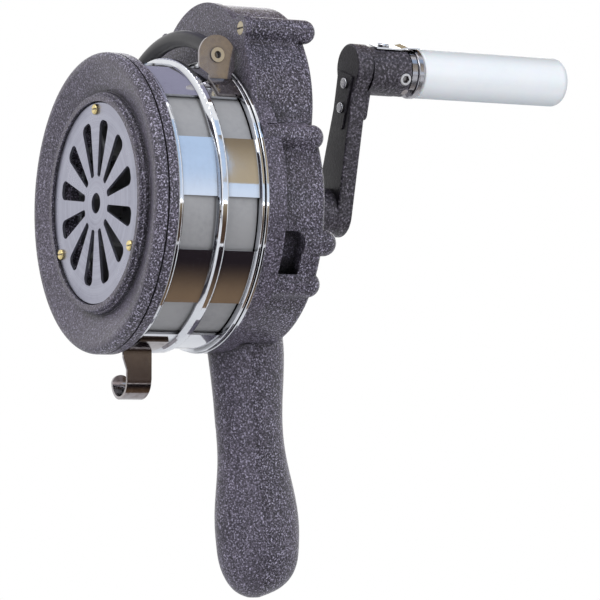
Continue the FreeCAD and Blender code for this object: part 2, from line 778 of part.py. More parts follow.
# ---- gear case ----
def outline(lobe, circle, sump, y0, y1, ear_extra=None, web=0.0):
    """The outline of the gear case: lobe, main circle, sump circle (0 for none) and, with ear_extra,
    the screw columns; web rounds the hollow corners."""
    shapes = [cyl_y(lobe, y0, y1, 0, idler_height), cyl_y(circle, y0, y1)]
    if sump > 0:
        shapes.append(cyl_y(sump, y0, y1, 0, -sump_drop))
    if ear_extra is not None:
        shapes += [cyl_y(r + ear_extra, y0, y1, x, z) for x, z, r, _ in ear_places()]
    body = fused(shapes)
    if web > 0:
        face = [f for f in body.Faces if f.BoundBox.YLength < 1e-4 and f.BoundBox.Center.y < y0 + 1e-3][0]
        face = face.makeOffset2D(web, 0).makeOffset2D(-web, 0)
        body = face.extrude(V(0, y1 - y0, 0))
    return body


def screw_end(z, r):
    """Where a case screw ends: the columns behind the pocket are short of it."""
    behind_pocket = pocket_z[0] < z < pocket_z[1] + r
    return pocket_y[0] - 1.5 if behind_pocket else case_screw_end


def case_screw_holes(radius, y0, y1):
    return [cyl_y(radius, y0, y1, x, z) for x, z, _, _ in ear_places()]


def front_case():
    step = plate_step
    plate = outline(lobe_r + step, collar_r, 0, drum_back, plate_back, step, ear_web)
    lip = tube_y(collar_r, case_r + slip_gap, plate_back - 0.1, collar_back)
    gap = slip_gap
    lip = lip.cut(outline(lobe_r + gap, case_r + gap, sump_r + gap, plate_back, collar_back + 1, gap, ear_web))
    boss = cyl_y(bearing_boss_r, boss_front, bearing_back)
    spigot = tube_y(flange_bore_r - run_gap, flange_bore_r - 3.0, drum_back - 2.2, drum_back + 0.1)
    idler_boss = cyl_y(idler_boss_r, plate_back - 0.1, idler_boss_end, 0, idler_height)
    handle = grip_loft().common(parting_side(True))
    handle = handle.cut(cyl_y(case_r + slip_gap, drum_back - 20, case_back + 20))
    handle = handle.cut(cyl_y(sump_r + slip_gap, drum_back - 20, case_back + 20, 0, -sump_drop))
    body = hollow_grip(fused([plate, lip, boss, spigot, idler_boss, handle]), True)
    cuts = [cyl_y(bearing_r + press_gap, bearing_seat, bearing_back + 1), cyl_y(8.5, boss_front - 1, bearing_seat),
            cyl_y(idler_pin_r + press_gap, drum_back + 1.2, idler_boss_end + 1, 0, idler_height)]
    cuts += [cyl_y(case_screw_r + screw_gap, drum_back - 1, plate_back + 1, *polar(a, drum_screw_r))
             for a in drum_screw_angles]
    cuts += case_screw_holes(case_screw_r + screw_gap, drum_back - 1, plate_back + 1)
    cuts += [cone_y(case_head_r + 0.1, case_screw_r + 0.1, drum_back, drum_back + case_head_deep, x, z)
             for x, z, _, _ in ear_places()]
    cuts += [cyl_y(1.05, bearing_back - 6, bearing_back + 1, *polar(a, retainer_screw_r)) for a in retainer_angles]
    cuts.append(lug_rod(rivet_r + press_gap, collar_r - 5.1, collar_r + 1.0, lug_rivet_y))
    return body.cut(cuts)


def case_gasket():
    lobe, circle, sump = lobe_r - gasket_inset, case_r - gasket_inset, sump_r - gasket_inset
    body = outline(lobe, circle, sump, plate_back, cover_front, -gasket_inset, ear_web)
    body = body.cut(outline(lobe_r - wall, case_r - wall, sump_r - wall, plate_back, cover_front))
    return body.cut(case_screw_holes(case_screw_r + slip_gap, plate_back, cover_front))


def case_pocket(grow, floor):
    """The pocket in the side of the cover, grown by a margin and down to a floor radius."""
    y0, y1 = pocket_y[0] - grow, pocket_y[1] + grow
    z0, z1 = pocket_z[0] - grow, pocket_z[1] + grow
    shape = plate_yz([(y0, z0, 0.8), (y1, z0, 0.8), (y1, z1, 5.0), (y0, z1, 3.0)], floor / 2, case_r + 20)
    return shape.cut(cyl_y(floor, y0 - 1, y1 + 1))


def rear_cover():
    shell = outline(lobe_r, case_r, sump_r, cover_front, case_back)
    back_edges = [e for e in shell.Edges if e.BoundBox.YLength < 1e-4
                  and abs(e.BoundBox.Center.y - case_back) < 1e-3]
    shell = shell.makeFillet(edge_round, back_edges)
    columns = []
    for x, z, r, end in ear_places():
        columns.append(cyl_y(r, cover_front, end - r, x, z))
        columns.append(Part.makeSphere(r, V(x, end - r, z)))
    handle = grip_loft().common(parting_side(False))
    boss = cone_y(boss_root_r, boss_tip_r, wall_back, boss_end)
    pin_boss = cyl_y(idler_boss_r, wall_back, case_back + 2.5, 0, idler_height)
    webs = outline(lobe_r, case_r, sump_r, cover_front, case_back - web_step, 0.0, ear_web)
    body = fused([shell, webs, handle, boss, pin_boss] + columns)
    cavity = outline(lobe_r - wall, case_r - wall, sump_r - wall, cover_front - 1, wall_back)
    keep = fused([cyl_y(r - 0.4, cover_front - 2, case_back, x, z) for x, z, r, _ in ear_places()])
    floor = case_r - pocket_deep
    cavity = cavity.cut(keep).cut(case_pocket(pocket_wall, floor - pocket_wall))
    body = hollow_grip(body.cut(cavity), False)
    cuts = [case_pocket(0.0, floor), cyl_y(bush_r + press_gap, wall_back - 1, boss_end + 1),
            cyl_y(idler_pin_r + press_gap, wall_back - 1, case_back + 1.0, 0, idler_height)]
    cuts += [cyl_y(case_screw_r - 0.1, cover_front - 1, screw_end(z, r) + 0.5, x, z) for x, z, r, _ in ear_places()]
    return body.cut(cuts)


def case_screws():
    screws = []
    deep = drum_back + case_head_deep
    for x, z, r, _ in ear_places():
        head = cone_y(case_head_r, case_screw_r, drum_back + 0.1, deep, x, z)
        slot = block((x - 4, x + 4), (drum_back, drum_back + 0.8), (z - 0.45, z + 0.45))
        shank = cyl_y(case_screw_r - 0.1, deep - 0.1, screw_end(z, r), x, z)
        screws.append(head.fuse(shank).removeSplitter().cut(slot))
    return Part.makeCompound(screws)


# ---- bearings and rotor ----
def bearing_starts():
    return [bearing_seat, bearing_seat + bearing_width + bearing_space]


def ball_track(y):
    return Part.makeTorus(ball_ring_r, ball_r + 0.07, V(0, y + bearing_width / 2, 0), V(0, 1, 0))


def bearing_outer_rings():
    rings = []
    for y in bearing_starts():
        body = tube_y(bearing_r, bearing_r - 2.0, y, y + bearing_width)
        rings.append(body.cut(ball_track(y)))
    return Part.makeCompound(rings)


def bearing_inner_rings():
    rings = []
    for y in bearing_starts():
        body = tube_y(6.0, shaft_r + press_gap, y, y + bearing_width)
        rings.append(body.cut(ball_track(y)))
    return Part.makeCompound(rings)


def bearing_balls():
    balls = []
    for y in bearing_starts():
        for k in range(ball_count):
            x, z = polar(360.0 / ball_count * k, ball_ring_r)
            balls.append(Part.makeSphere(ball_r, V(x, y + bearing_width / 2, z)))
    return Part.makeCompound(balls)


def bearing_spacer():
    y = bearing_seat + bearing_width
    return tube_y(bearing_r - run_gap, bearing_r - 1.6, y, y + bearing_space)


def bearing_retainer():
    body = tube_y(bearing_boss_r, retainer_bore_r, bearing_back, bearing_back + retainer_thick)
    return body.cut([cyl_y(1.15, bearing_back - 1, bearing_back + 3, *polar(a, retainer_screw_r))
                     for a in retainer_angles])


def retainer_screws():
    y = bearing_back + retainer_thick
    return Part.makeCompound([
        screw_y(*polar(a, retainer_screw_r), (y, y + 1.1), (bearing_back - 5, y + 0.1), 1.0, 1.9, (0.5, 0.5))
        for a in retainer_angles])


def rotor():
    parts = [cyl_y(hub_r, hub_front, hub_back), cyl_y(rotor_r - 0.4, web_front, web_front + web_thick),
             tube_y(rotor_r, rotor_r - 7.0, rotor_front, rotor_front + 1.8),
             tube_y(rotor_r, rotor_r - 3.0, rotor_back - 1.6, rotor_back)]
    for k in range(port_count):
        angle = port_phase + 360.0 / port_count * k
        parts.append(ring_sector(angle, rim_angle, rotor_r - rim_thick, rotor_r, rotor_front, rotor_back))
        blade = block((hub_r - 1.0, rotor_r - 1.0), (hub_front, web_front + 1.0), (-blade_thick / 2, blade_thick / 2))
        scoop = block((30.0, rotor_r - 1.0), (rotor_front + 1.0, hub_front + 0.1),
                      (-blade_thick / 2, blade_thick / 2))
        parts.append(turned(blade, angle))
        parts.append(turned(scoop, angle))
    body = fused(parts)
    key = block((-key_half - 0.02, key_half + 0.02), (key_y[0] - 20, key_y[1] + 20), (0, shaft_r + key_out + 0.05))
    return body.cut([cyl_y(shaft_r + press_gap, hub_front - 1, hub_back + 1), key])


def rotor_key():
    return block((-key_half, key_half), key_y, (shaft_r - key_deep, shaft_r + key_out))


def rotor_shaft():
    body = turned_body([
        (0, 22.5, 0), (thread_r - 0.6, 22.5, 0), (thread_r, 23.1, 0), (thread_r, hub_front + 0.2, 0),
        (shaft_r, hub_front + 0.2, 0), (shaft_r, hub_back, 0), (collar_shaft_r, hub_back, 0),
        (collar_shaft_r, bearing_seat, 0), (shaft_r, bearing_seat, 0), (shaft_r, bearing_back + 0.3, 0),
        (pinion_seat_r, bearing_back + 0.3, 0), (pinion_seat_r, shaft_end, 0), (0, shaft_end, 0)])
    seat = block((-key_half - 0.02, key_half + 0.02), (key_y[0] - 0.02, key_y[1] + 0.02), (shaft_r - key_deep - 0.05, 10))
    return body.cut(seat)


def hexagon(across_flats, y0, y1):
    radius = across_flats / 2 / math.cos(math.radians(30))
    corners = [polar(60.0 * k, radius) + (0,) for k in range(6)]
    body = plate_xz(corners, y0, y1)
    return body.common(cone_y(radius * 0.93, radius * 0.93 + (y1 - y0) * 1.7, y0, y1))


def rotor_nut():
    y1 = hub_front - washer_thick
    return hexagon(nut_flat, y1 - nut_high, y1).cut(cyl_y(thread_r + press_gap, 0, y1))


def rotor_washer():
    return tube_y(washer_r, thread_r + 0.2, hub_front - washer_thick, hub_front)


def rotor_pinion():
    body = gear(pinion_teeth, pinion_shift, first_face[0], first_face[1], tooth_at=90.0)
    collar = cyl_y(4.6, bearing_back + 0.3, first_face[0] + 0.1)
    return fused([body, collar]).cut(cyl_y(pinion_seat_r + press_gap, bearing_back, shaft_end + 1))


# ---- idler ----
def idler_gear():
    half = 180.0 / wheel_teeth
    return spoked_wheel(idler_face, sleeve_r + press_gap, idler_height, 270.0 + half)


def idler_pinion():
    teeth = gear(pinion_teeth, pinion_shift, second_face[0], second_face[1], 0.0, idler_height, 270.0)
    sleeve = cyl_y(sleeve_r, idler_boss_end + washer_thick + 0.2, second_face[0] + 0.1, 0, idler_height)
    collar = cyl_y(wheel_hub_r, idler_face[1], second_face[0] - 0.6, 0, idler_height)
    body = fused([teeth, sleeve, collar])
    return body.cut(cyl_y(idler_pin_r + run_gap, 50, 100, 0, idler_height))


def idler_pin():
    return cyl_y(idler_pin_r, drum_back + 1.4, case_back + 0.9, 0, idler_height)


def idler_washers():
    bore = idler_pin_r + run_gap
    front = tube_y(6.4, bore, idler_boss_end, idler_boss_end + washer_thick, 0, idler_height)
    back = tube_y(6.4, bore, second_face[1] + 0.2, wall_back, 0, idler_height)
    return Part.makeCompound([front, back])


# ---- crank ----
def crank_gear():
    half = 180.0 / wheel_teeth
    body = spoked_wheel(crank_face, crank_shaft_r + press_gap, 0.0, 90.0 + half)
    hub = tube_y(wheel_hub_r, crank_shaft_r + press_gap, crank_face[1] - 0.1, wall_back - 0.3)
    return fused([body, hub]).cut(gear_pin_hole())


def gear_pin_hole(radius=1.26):
    y = (crank_face[0] + crank_face[1]) / 2
    return rod(V(-wheel_hub_r - 1.0, y, 0), V(1, 0, 0), radius, 2 * wheel_hub_r + 2.0)


def gear_pin():
    y = (crank_face[0] + crank_face[1]) / 2
    return rod(V(-wheel_hub_r + 0.4, y, 0), V(1, 0, 0), 1.25, 2 * wheel_hub_r - 0.8)


def crank_shaft():
    back = arm_front + arm_thick - 4.0
    body = cyl_y(crank_shaft_r, crank_face[0] - 0.2, back)
    flats = [block((crank_shaft_r - 1.0, 10), (arm_front, back + 1), (-8, 8)),
             block((-10, -crank_shaft_r + 1.0), (arm_front, back + 1), (-8, 8))]
    return body.cut([in_arm_frame(f) for f in flats] + [gear_pin_hole(), cyl_y(2.6, arm_front - 8, back + 1)])


def crank_bush():
    return tube_y(bush_r, crank_shaft_r + run_gap, wall_back, boss_end)


def thrust_washer():
    return tube_y(9.5, crank_shaft_r + run_gap, boss_end + 0.1, boss_end + 0.1 + thrust_thick)


def crank_screw():
    back = arm_front + arm_thick
    body = screw_y(0, 0, (back - 3.2, back - 0.2), (arm_front - 6, back - 3.0), 2.55, crank_head_r, (1.2, 1.2))
    return body


def arm_outline(y):
    """The arm seen along Y: round hub, straight tapering sides and a hollow sweep into the round knuckle."""
    tilt = math.atan2(neck_at, arm_half) - math.acos(hub_end_r / math.hypot(arm_half, neck_at))
    out = (math.cos(tilt), math.sin(tilt))
    up = (-math.sin(tilt), math.cos(tilt))
    a, b = (hub_end_r + neck_sweep) * out[0], (hub_end_r + neck_sweep) * out[1] - crank_radius
    p, q = a * up[0] + b * up[1], a * a + b * b - (arm_end_r + neck_sweep) ** 2
    t = -p - math.sqrt(p * p - q)
    mid = (a + t * up[0], b + t * up[1] + crank_radius)
    on_hub = (hub_end_r * out[0], hub_end_r * out[1])
    on_side = (mid[0] - neck_sweep * out[0], mid[1] - neck_sweep * out[1])
    share = arm_end_r / (arm_end_r + neck_sweep)
    on_knuckle = (mid[0] * share, crank_radius + (mid[1] - crank_radius) * share)
    dx = (on_side[0] + on_knuckle[0]) / 2 - mid[0]
    dz = (on_side[1] + on_knuckle[1]) / 2 - mid[1]
    reach = neck_sweep / math.hypot(dx, dz)
    sweep = (mid[0] + dx * reach, mid[1] + dz * reach)

    def arc(first, middle, last):
        return Part.Arc(*[V(x, y, z) for x, z in (first, middle, last)]).toShape()

    def side(sign):
        return [Part.LineSegment(V(sign * on_hub[0], y, on_hub[1]), V(sign * on_side[0], y, on_side[1])).toShape(),
                arc((sign * on_side[0], on_side[1]), (sign * sweep[0], sweep[1]),
                    (sign * on_knuckle[0], on_knuckle[1]))]

    hub = arc((-on_hub[0], on_hub[1]), (0, -hub_end_r), on_hub)
    top = arc(on_knuckle, (0, crank_radius + arm_end_r), (-on_knuckle[0], on_knuckle[1]))
    return Part.Wire([hub] + side(1) + [top] + side(-1)[::-1])


def crank_arm():
    y0, y1 = arm_front, arm_front + arm_thick
    root = hub_end_r
    body = Part.Face(arm_outline(y0)).extrude(V(0, arm_thick, 0))
    edges = [e for e in body.Edges if e.BoundBox.YLength < 1e-4]
    body = body.makeFillet(arm_round, edges)
    collar = cyl_y(root - 0.2, boss_end + 0.1 + thrust_thick, y0 + 1.5)
    pad_top = crank_radius - 3.0
    pad = plate_xz([(-6.0, 41.0, 2.0), (4.0, 41.0, 2.0), (6.2, pad_top, 1.0), (-7.6, pad_top, 1.0)],
                   y0 - pad_high, y0 + 0.5)
    body = fused([body, collar, pad])
    flat_bore = cyl_y(crank_shaft_r + press_gap, y0 - 0.01, y1 - 4.0 + 0.05).common(
        block((-crank_shaft_r + 1.0 - 0.02, crank_shaft_r - 1.0 + 0.02), (y0 - 1, y1), (-10, 10)))
    cuts = [cyl_y(crank_shaft_r + press_gap, 100, y0 + 0.02), flat_bore, cyl_y(2.7, y0, y1 + 1),
            cyl_y(crank_head_r + 0.2, y1 - 3.2, y1 + 1)]
    cuts += [cyl_y(arm_rivet_r + press_gap, y0 - 2, y1 + 1, rivet_off, d) for d in arm_rivet_at]
    return in_arm_frame(body.cut(cuts))


def arm_rivets():
    front = arm_front - pad_high
    back = arm_front + arm_thick + tang_thick
    rivets = []
    for d in arm_rivet_at:
        head = screw_y(rivet_off, d, (front - 1.1, front), (front - 0.2, back), arm_rivet_r, arm_rivet_head_r)
        rivets.append(head)
    return in_arm_frame(Part.makeCompound(rivets))


def across(y, height, radius, x0, x1):
    """A rod across the arm."""
    return rod(V(x0, y, height), V(1, 0, 0), radius, x1 - x0)


def hinge_slot(half, radius):
    """The space of the tongue over its whole swing, from the rear to below the knuckle."""
    z = grip_height - pivot_drop
    low, far = grip_height - 2 * knuckle_r, knuckle_end + 1
    return fused([across(pivot_y, z, radius, -half, half),
                  block((-half, half), (pivot_y, far), (low, z + radius)),
                  block((-half, half), (pivot_y - radius, far), (low, z))])


def grip_knuckle():
    y0 = arm_front + arm_thick
    body = cyl_y(knuckle_r, y0, knuckle_end, 0, grip_height)
    rim = [e for e in body.Edges if e.BoundBox.YLength < 1e-4 and abs(e.BoundBox.Center.y - knuckle_end) < 1e-3]
    body = body.makeFillet(0.7, rim)
    low = crank_radius - tang_long
    tang = plate_xz([(-tang_half, low, 3.0), (tang_half, low, 3.0), (tang_half, grip_height, 0),
                     (-tang_half, grip_height, 0)], y0, y0 + tang_thick)
    body = fused([body, tang])
    z = grip_height - pivot_drop
    slit = block((-slit_half, slit_half), (slit_front, knuckle_end + 1), (z, cross_height + 2 * cross_r))
    cuts = [hinge_slot(fork_slot / 2, tongue_r + slip_gap), slit,
            across(pivot_y, z, pin_r + press_gap, -knuckle_r, knuckle_r),
            across(cross_y, cross_height, cross_r + press_gap, -cross_far, knuckle_r),
            across(cross_y, cross_height, cross_head[0] + screw_gap, cross_seat, knuckle_r + 1)]
    cuts += [cyl_y(arm_rivet_r + press_gap, y0 - 1, y0 + tang_thick, rivet_off, d) for d in arm_rivet_at]
    cuts.append(rod(V(0, spring_rivet_y, spring_rivet_low), V(0, 0, 1), spring_rivet_r + press_gap, 6))
    return in_arm_frame(body.cut(cuts))


def fold_pin():
    """The hinge pin of the folding grip, its ends flush with the knuckle."""
    z = grip_height - pivot_drop
    pin = across(pivot_y, z, pin_r, -knuckle_r, knuckle_r)
    return in_arm_frame(pin.common(cyl_y(knuckle_r - 0.02, pivot_y - 2 * pin_r, pivot_y + 2 * pin_r, 0, grip_height)))


def cross_screw():
    """The socket head screw that pinches the fork on the tongue."""
    out = cross_seat + cross_head[1]
    head = across(cross_y, cross_height, cross_head[0], cross_seat, out)
    rim = [e for e in head.Edges if e.BoundBox.XLength < 1e-4 and abs(e.BoundBox.Center.x - out) < 1e-3]
    head = head.makeFillet(0.4, rim)
    shank = across(cross_y, cross_height, cross_r, 0.2 - cross_far, cross_seat + 0.1)
    corners = []
    for k in range(6):
        a = math.radians(60.0 * k)
        corners.append(V(out - socket_deep, cross_y + socket_r * math.cos(a), cross_height + socket_r * math.sin(a)))
    socket = Part.Face(Part.makePolygon(corners + [corners[0]])).extrude(V(3, 0, 0))
    return in_arm_frame(head.fuse(shank).removeSplitter().cut(socket))


def detent_spring():
    """A flat spring along the top of the knuckle; its end rides on the flange of the grip."""
    top, thick = spring_top, spring_thick
    reach = grip_height + flange_r + 0.35
    rise = hub_ring_front - 0.4
    end = flange_back - 0.6
    profile = [(spring_front, top), (spring_bend, top), (rise, reach), (end, reach), (end, reach + thick),
               (rise - 0.2, reach + thick), (spring_bend - 0.2, top + thick), (spring_front, top + thick)]
    points = [V(-spring_half, y, z) for y, z in profile]
    body = Part.Face(Part.makePolygon(points + [points[0]])).extrude(V(2 * spring_half, 0, 0))
    body = body.cut(rod(V(0, spring_rivet_y, top - 1), V(0, 0, 1), spring_rivet_r + screw_gap, 4))
    return in_arm_frame(body)


def spring_rivet():
    seat = spring_top + spring_thick
    head_r, high = spring_head
    body = rod(V(0, spring_rivet_y, spring_rivet_low), V(0, 0, 1), spring_rivet_r, seat - spring_rivet_low)
    head = rod(V(0, spring_rivet_y, seat), V(0, 0, 1), head_r, high)
    rim = [e for e in head.Edges if e.BoundBox.ZLength < 1e-4 and abs(e.BoundBox.Center.z - seat - high) < 1e-3]
    return in_arm_frame(body.fuse(head.makeFillet(high * 0.7, rim)).removeSplitter())


# ---- folding grip ----
def grip_bracket():
    """The chrome flange and hub of the grip, with the tongue that turns in the knuckle."""
    z = grip_height - pivot_drop
    half = tongue_thick / 2
    flange = cyl_y(flange_r, flange_front, flange_back, 0, grip_height)
    rims = [e for e in flange.Edges if e.BoundBox.YLength < 1e-4]
    flange = flange.makeFillet(0.8, rims)
    hub = cyl_y(hub_ring_r, hub_ring_front, flange_front + 0.1, 0, grip_height)
    heel = z + knuckle_end - pivot_y + hinge_gap
    hub = hub.cut(block((-flange_r, flange_r), (hub_ring_front - 1, flange_front), (z - flange_r, heel)))
    wide, deep = flange_groove
    hub = hub.cut(tube_y(hub_ring_r + 1, hub_ring_r - deep, flange_front - wide, flange_front, 0, grip_height))
    eye = across(pivot_y, z, tongue_r, -half, half)
    web = block((-half, half), (pivot_y, flange_front + 0.5), (z - tongue_r, z + tongue_r))
    body = fused([flange, hub, eye, web])
    cuts = [across(pivot_y, z, pin_r + run_gap, -knuckle_r, knuckle_r),
            cyl_y(spindle_r - spindle_neck + press_gap, flange_front + 1.0, flange_back + 1, 0, grip_height)]
    return in_arm_frame(body.cut(cuts))


def grip_spindle():
    neck = cyl_y(spindle_r - spindle_neck, flange_front + 1.1, flange_back, 0, grip_height)
    body = neck.fuse(cyl_y(spindle_r, flange_back, spindle_end, 0, grip_height))
    groove = tube_y(spindle_r + 1, spindle_r - 0.8, spindle_end - 5.0, spindle_end - 3.8, 0, grip_height)
    return in_arm_frame(body.removeSplitter().cut(groove))


def spindle_clip():
    body = tube_y(spindle_r + clip_wide, spindle_r - 0.75, spindle_end - 4.9, spindle_end - 3.9, 0, grip_height)
    gap = block((-1.2, 1.2), (spindle_end - 6, spindle_end), (grip_height, grip_height + 10))
    return in_arm_frame(body.cut(gap))


def grip_sleeve():
    """The white hand sleeve, with a blind bore and a groove for the clip of the spindle."""
    bore = spindle_r + grip_bore_gap
    clip = spindle_r + clip_wide + 0.2
    body = turned_body([
        (bore, grip_front, 0), (grip_r, grip_front, 1.2), (grip_r, grip_end, 4.5), (0, grip_end, 0),
        (0, spindle_end + 1.2, 0), (bore, spindle_end + 1.2, 0), (bore, spindle_end - 3.6, 0),
        (clip, spindle_end - 3.6, 0), (clip, spindle_end - 5.2, 0), (bore, spindle_end - 5.2, 0)])
    body.translate(V(0, 0, grip_height))
    return in_arm_frame(body)


pieces = [
    ("front_ring", front_ring), ("grille_plate", grille_plate), ("grille_screws", grille_screws),
    ("stator_drum", stator_drum), ("drum_screws", drum_screws), ("strap_hook_top", strap_hook_top),
    ("strap_hook_bottom", strap_hook_bottom), ("hook_rivets", hook_rivets), ("carry_cord", carry_cord),
    ("cord_lug", cord_lug), ("cord_rivets", cord_rivets), ("front_case", front_case),
    ("case_gasket", case_gasket), ("rear_cover", rear_cover), ("case_screws", case_screws),
    ("grip_screws", grip_screws), ("bearing_outer_rings", bearing_outer_rings),
    ("bearing_inner_rings", bearing_inner_rings), ("bearing_balls", bearing_balls),
    ("bearing_spacer", bearing_spacer), ("bearing_retainer", bearing_retainer),
    ("retainer_screws", retainer_screws), ("rotor", rotor), ("rotor_key", rotor_key),
    ("rotor_shaft", rotor_shaft), ("rotor_nut", rotor_nut), ("rotor_washer", rotor_washer),
    ("rotor_pinion", rotor_pinion), ("idler_gear", idler_gear), ("idler_pinion", idler_pinion),
    ("idler_pin", idler_pin), ("idler_washers", idler_washers), ("crank_gear", crank_gear),
    ("gear_pin", gear_pin), ("crank_shaft", crank_shaft), ("crank_bush", crank_bush),
    ("thrust_washer", thrust_washer), ("crank_screw", crank_screw), ("crank_arm", crank_arm),
    ("arm_rivets", arm_rivets), ("grip_knuckle", grip_knuckle), ("fold_pin", fold_pin),
    ("cross_screw", cross_screw),
    ("detent_spring", detent_spring), ("spring_rivet", spring_rivet), ("grip_bracket", grip_bracket),
    ("grip_spindle", grip_spindle), ("spindle_clip", spindle_clip), ("grip_sleeve", grip_sleeve),
]
for name, make in pieces:
    save(name, make())
print(len(made), "nodes")
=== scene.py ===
import bpy
from mathutils import Matrix, Vector

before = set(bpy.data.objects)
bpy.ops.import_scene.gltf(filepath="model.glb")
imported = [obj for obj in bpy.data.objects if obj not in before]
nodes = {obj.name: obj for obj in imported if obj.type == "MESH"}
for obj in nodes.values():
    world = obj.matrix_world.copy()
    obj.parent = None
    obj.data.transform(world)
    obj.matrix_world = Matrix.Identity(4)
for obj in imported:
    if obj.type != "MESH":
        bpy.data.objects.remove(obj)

bpy.ops.object.select_all(action="DESELECT")
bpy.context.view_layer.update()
axisHigh = 0.125          # the siren axis stands this far above the middle of the hand grip
axisBack = -0.0815        # y of the siren's front lip
white = (1, 1, 1, 1)


# ---- camera, floor and lamps ----
studio = {
    "eye": (1.3798, -0.7168, 0.0075),
    "right": (0.4738, 0.8806, 0.0),
    "up": (0.0424, -0.0228, 0.9988),
    "back": (0.8796, -0.4733, -0.04815),
    "lens": 199.1,
    "sensor": 36.0,
    "clip": (0.05, 50.0),
    "lampTarget": (0.0, 0.0, 0.09),
    "floorHigh": -0.30,
    "floorWide": 5.0,
    "floorColor": (0.80, 0.80, 0.80, 1),
    "floorRough": 0.9,
    "worldColor": (0.93, 0.95, 1.0, 1),
    "worldLight": 0.55,
}


def addCamera():
    data = bpy.data.cameras.new("camera")
    data.lens = studio["lens"]
    data.sensor_width = studio["sensor"]
    data.clip_start, data.clip_end = studio["clip"]
    camera = bpy.data.objects.new("camera", data)
    turn = Matrix((studio["right"], studio["up"], studio["back"])).transposed().to_4x4()
    camera.matrix_world = Matrix.Translation(studio["eye"]) @ turn
    bpy.context.scene.collection.objects.link(camera)
    bpy.context.scene.camera = camera


# lamp: place, width and height, power
lamps = {
    "keyLamp": ((0.75, -1.25, 0.95), (0.9, 0.9), 11.0),
    "sideLamp": ((1.45, 0.55, 0.55), (0.8, 1.1), 7.0),
    "topLamp": ((-0.1, 0.1, 1.5), (1.2, 1.2), 5.5),
    "rearLamp": ((-1.2, 1.0, 0.7), (1.0, 1.0), 6.0),
}


def addLamp(name, place, wide, power):
    data = bpy.data.lights.new(name, "AREA")
    data.shape = "RECTANGLE"
    data.size, data.size_y = wide
    data.energy = power
    lamp = bpy.data.objects.new(name, data)
    aim = (Vector(place) - Vector(studio["lampTarget"])).to_track_quat("Z", "Y")
    lamp.matrix_world = Matrix.Translation(place) @ aim.to_matrix().to_4x4()
    bpy.context.scene.collection.objects.link(lamp)


# white where it is looked at or reflected, and a soft light on everything else
def addWorld():
    world = bpy.data.worlds.new("world")
    bpy.context.scene.world = world
    world.use_nodes = True
    tree = world.node_tree
    tree.nodes.clear()
    path = tree.nodes.new("ShaderNodeLightPath")
    seen = tree.nodes.new("ShaderNodeMath")
    seen.operation = "MAXIMUM"
    seenAll = tree.nodes.new("ShaderNodeMath")
    seenAll.operation = "MAXIMUM"
    light = tree.nodes.new("ShaderNodeBackground")
    light.inputs["Color"].default_value = studio["worldColor"]
    light.inputs["Strength"].default_value = studio["worldLight"]
    backdrop = tree.nodes.new("ShaderNodeBackground")
    backdrop.inputs["Color"].default_value = white
    backdrop.inputs["Strength"].default_value = 1.0
    mix = tree.nodes.new("ShaderNodeMixShader")
    out = tree.nodes.new("ShaderNodeOutputWorld")
    tree.links.new(path.outputs["Is Camera Ray"], seen.inputs[0])
    tree.links.new(path.outputs["Is Glossy Ray"], seen.inputs[1])
    tree.links.new(seen.outputs[0], seenAll.inputs[0])
    tree.links.new(path.outputs["Is Transmission Ray"], seenAll.inputs[1])
    tree.links.new(seenAll.outputs[0], mix.inputs[0])
    tree.links.new(light.outputs[0], mix.inputs[1])
    tree.links.new(backdrop.outputs[0], mix.inputs[2])
    tree.links.new(mix.outputs[0], out.inputs["Surface"])


def addFloor():
    bpy.ops.mesh.primitive_plane_add(size=studio["floorWide"], location=(0, 0, studio["floorHigh"]))
    floor = bpy.context.object
    floor.name = "floor"
    paint = bpy.data.materials.new("floorPaint")
    paint.use_nodes = True
    shader = paint.node_tree.nodes["Principled BSDF"]
    shader.inputs["Base Color"].default_value = studio["floorColor"]
    shader.inputs["Roughness"].default_value = studio["floorRough"]
    floor.data.materials.append(paint)
    floor.select_set(False)


# a reflection card: seen only by polished surfaces, its colour fades from one edge to the other
def addCard(name, corner, along, across, firstColor, lastColor, fadeRange):
    corner, along, across = Vector(corner), Vector(along), Vector(across)
    bpy.ops.mesh.primitive_plane_add(size=1.0)
    card = bpy.context.object
    card.name = name
    turn = Matrix((along, across, along.cross(across).normalized())).transposed().to_4x4()
    card.matrix_world = Matrix.Translation(corner + (along + across) / 2) @ turn
    paint = bpy.data.materials.new(name + "Paint")
    paint.use_nodes = True
    tree = paint.node_tree
    tree.nodes.clear()
    coords = tree.nodes.new("ShaderNodeTexCoord")
    split = tree.nodes.new("ShaderNodeSeparateXYZ")
    fade = tree.nodes.new("ShaderNodeMapRange")
    fade.interpolation_type = "SMOOTHSTEP"
    fade.inputs["From Min"].default_value = fadeRange[0] - 0.5
    fade.inputs["From Max"].default_value = fadeRange[1] - 0.5
    mix = tree.nodes.new("ShaderNodeMix")
    mix.data_type = "RGBA"
    mix.inputs[6].default_value = cardColors[firstColor]
    mix.inputs[7].default_value = cardColors[lastColor]
    glow = tree.nodes.new("ShaderNodeEmission")
    out = tree.nodes.new("ShaderNodeOutputMaterial")
    tree.links.new(coords.outputs["Object"], split.inputs[0])
    tree.links.new(split.outputs[0], fade.inputs["Value"])
    tree.links.new(fade.outputs[0], mix.inputs[0])
    tree.links.new(mix.outputs[2], glow.inputs["Color"])
    tree.links.new(glow.outputs[0], out.inputs["Surface"])
    card.data.materials.append(paint)
    card.visible_camera = False
    card.visible_diffuse = False
    card.visible_shadow = False
    card.select_set(False)


cardColors = {
    "sky": (0.55, 0.70, 0.92, 1), "pale": (0.80, 0.88, 1.0, 1), "tan": (0.48, 0.39, 0.26, 1),
    "umber": (0.20, 0.135, 0.085, 1), "brown": (0.085, 0.052, 0.035, 1), "dark": (0.020, 0.015, 0.018, 1),
    "lavender": (0.33, 0.32, 0.42, 1),
}
